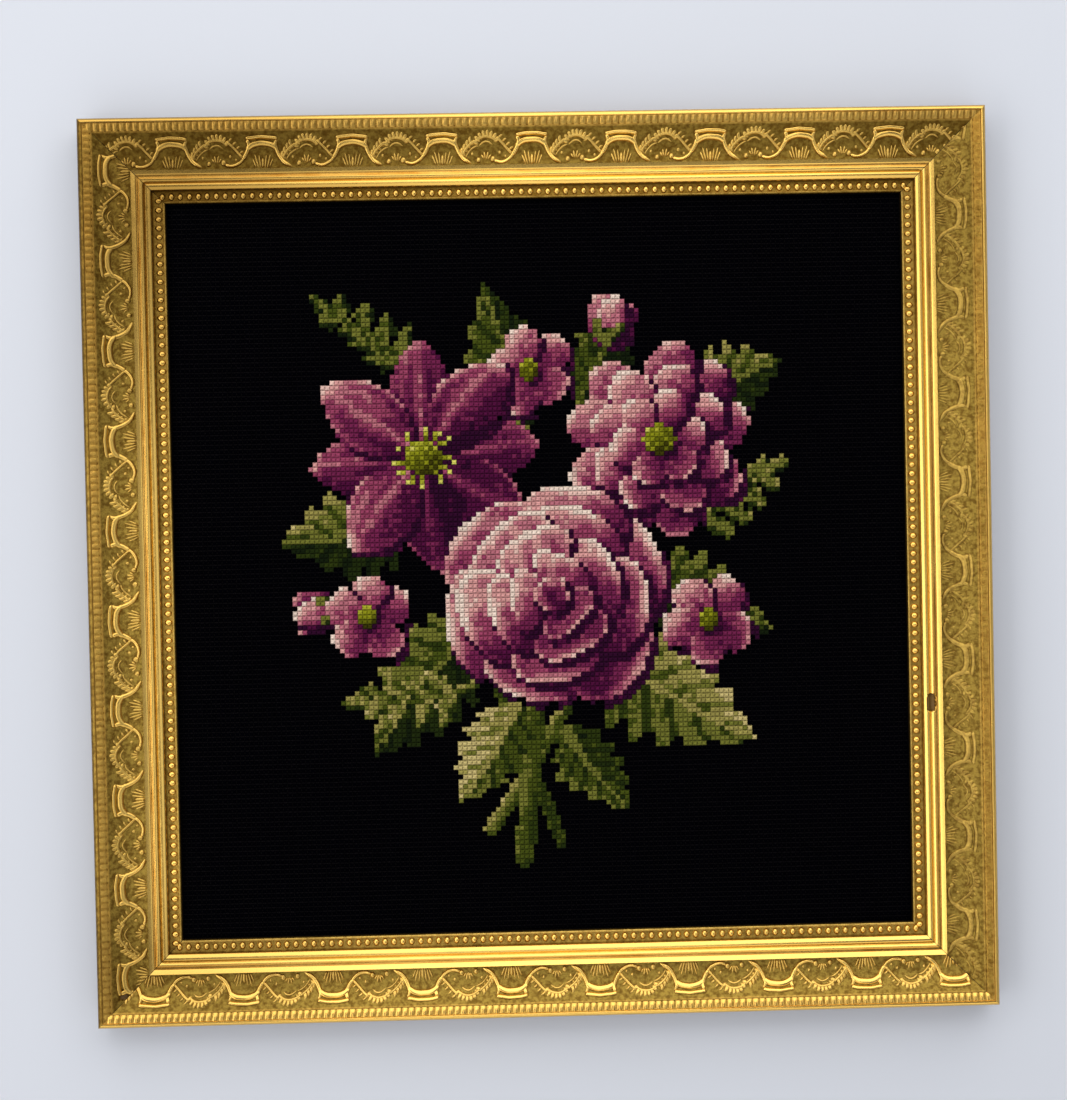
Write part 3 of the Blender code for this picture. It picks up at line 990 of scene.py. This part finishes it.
def canvas_material():
    """Woven canvas, and on its back the short bars of wool between the stitches."""
    mat, tree, shader = material("canvas_weave", Roughness=0.95)
    shader.inputs["Specular IOR Level"].default_value = 0.05
    wool = node(tree, "ShaderNodeAttribute", attribute_name="wool").outputs["Color"]
    spot = place(tree)
    per_metre = (1 / (STITCH_X_MM * MM), 1 / (STITCH_Y_MM * MM), 0)
    stretch = node(tree, "ShaderNodeMapping", {"Vector": spot, "Scale": per_metre}).outputs["Vector"]
    bricks = {"Vector": stretch, "Scale": 1.0, "Brick Width": 0.5, "Row Height": 1.0}
    bricks |= {"Mortar Size": 0.1, "Mortar Smooth": 1.0}
    bars = node(tree, "ShaderNodeTexBrick", bricks, offset=0.0).outputs["Fac"]
    fuzz = noise(tree, spot, 1400)
    shaded = mix(tree, remap(tree, bars, 0.0, 1.0, 0.0, 0.75), wool, (0, 0, 0, 1))
    shaded = mix(tree, remap(tree, fuzz, 0.4, 0.8, 0.0, 0.35), shaded, colour(36, 32, 34))
    tree.links.new(shaded, shader.inputs["Base Color"])
    deep = bump(tree, remap(tree, bars, 0.0, 1.0, 1.0, 0.0), 0.0006, 0.9)
    tree.links.new(bump(tree, fuzz, 0.0003, 0.6, deep), shader.inputs["Normal"])
    return mat


# The studio

# The photograph's camera, from the corners of the frame in it: the picture's turn as the lens sees
# it, the place of its middle, and the lens in pixels of an image 1067 wide.
TURN_DEGREES = (0.88, 1.35, 1.17)
MIDDLE = (0.0043, -0.0082, -1.0)
LENS_PIXELS, IMAGE_WIDTH_PIXELS, SENSOR_MM = 1840.0, 1067, 36.0


def camera():
    data = bpy.data.cameras.new("photo_camera")
    data.sensor_fit, data.sensor_width = "HORIZONTAL", SENSOR_MM
    data.lens = SENSOR_MM * LENS_PIXELS / IMAGE_WIDTH_PIXELS
    turn = Matrix.Identity(4)
    for axis, degrees in zip("XYZ", TURN_DEGREES):
        turn = turn @ Matrix.Rotation(math.radians(degrees), 4, axis)
    obj = bpy.data.objects.new("photo_camera", data)
    obj.matrix_world = (Matrix.Translation(MIDDLE) @ turn).inverted()
    bpy.context.scene.collection.objects.link(obj)
    bpy.context.scene.camera = obj


LIGHTS = (  # each one's place, width and height, watts and tint
    ("top", (0.1, 1.2, 0.85), (2.4, 1.8), 24, (1.0, 0.98, 0.94)),
    ("left", (-1.15, -0.1, 1.15), (1.9, 0.9), 11.0, (1.0, 0.98, 0.95)),
    ("right", (1.2, 0.0, 1.05), (1.8, 0.8), 3.0, (1.0, 1.0, 1.0)),
    ("bottom", (0.0, -1.3, 0.75), (2.2, 1.2), 8.0, (1.0, 0.97, 0.92)),
    ("front", (0.0, 0.1, 2.2), (0.8, 2.2), 7, (1.0, 0.98, 0.96)),
)


def area_light(name, place, size, watts, tint):
    """A soft box that faces the middle of the picture."""
    data = bpy.data.lights.new(name, "AREA")
    data.shape, data.size, data.size_y = "RECTANGLE", *size
    data.energy, data.color = watts, tint
    obj = bpy.data.objects.new(name, data)
    obj.location = place
    obj.rotation_euler = (-Vector(place)).to_track_quat("-Z", "Y").to_euler()
    bpy.context.scene.collection.objects.link(obj)


FLOOR_REACH, FLOOR_DROP = 4.0, 0.0003  # each way from the middle, and under the frame's back
FLOOR_COLOUR = (0.64, 0.67, 0.74, 1)
WORLD_COLOUR, WORLD_STRENGTH = (0.75, 0.8, 0.9, 1), 0.2


def studio():
    """A plain pale floor, and soft light that is strongest from the picture's top."""
    mat, _, shader = material("pale_floor", Roughness=0.9)
    shader.inputs["Base Color"].default_value = FLOOR_COLOUR
    bm = bmesh.new()
    bmesh.ops.create_grid(bm, x_segments=1, y_segments=1, size=FLOOR_REACH)
    mesh = bpy.data.meshes.new("floor")
    bm.to_mesh(mesh)
    bm.free()
    mesh.materials.append(mat)
    floor = bpy.data.objects.new("floor", mesh)
    floor.location.z = cad_box[0][2] - FLOOR_DROP
    bpy.context.scene.collection.objects.link(floor)
    world = bpy.data.worlds.new("studio")
    world.use_nodes = True
    background = world.node_tree.nodes["Background"]
    background.inputs["Color"].default_value = WORLD_COLOUR
    background.inputs["Strength"].default_value = WORLD_STRENGTH
    bpy.context.scene.world = world
    bpy.context.scene.view_settings.view_transform = "Standard"
    for light in LIGHTS:
        area_light(*light)


GROUND_PARTS = (("low", 0, 52), ("middle", 52, 105), ("high", 105, ROWS))  # from which row to which


def main():
    bouquet()
    ground, flowers = wool_material("black_wool", 0.0, 0.0), wool_material("coloured_wool", 0.06, 0.05)
    canvas = base_canvas(canvas_material())
    stitches = [
        stitch_piece("petal_stitches", np.nonzero(chart < LEAF), flowers, True),
        stitch_piece("leaf_stitches", np.nonzero((chart >= LEAF) & (chart < GROUND)), flowers, True),
    ]
    rows = np.arange(ROWS)[:, None] + 0 * X.astype(int)
    for name, low, high in GROUND_PARTS:
        chosen = np.nonzero((chart == GROUND) & (rows >= low) & (rows < high))
        stitches.append(stitch_piece(f"ground_stitches_{name}", chosen, ground, False))
    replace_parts(canvas, "needlepoint_canvas")
    gilt, wood = gilt_material(), wood_material()
    for rail in RAILS:
        moulding(rail, gilt, wood)
        rib_band(rail, gilt)
        ornament(rail, gilt)
        pearls(rail, gilt)
    studio()
    camera()


main()
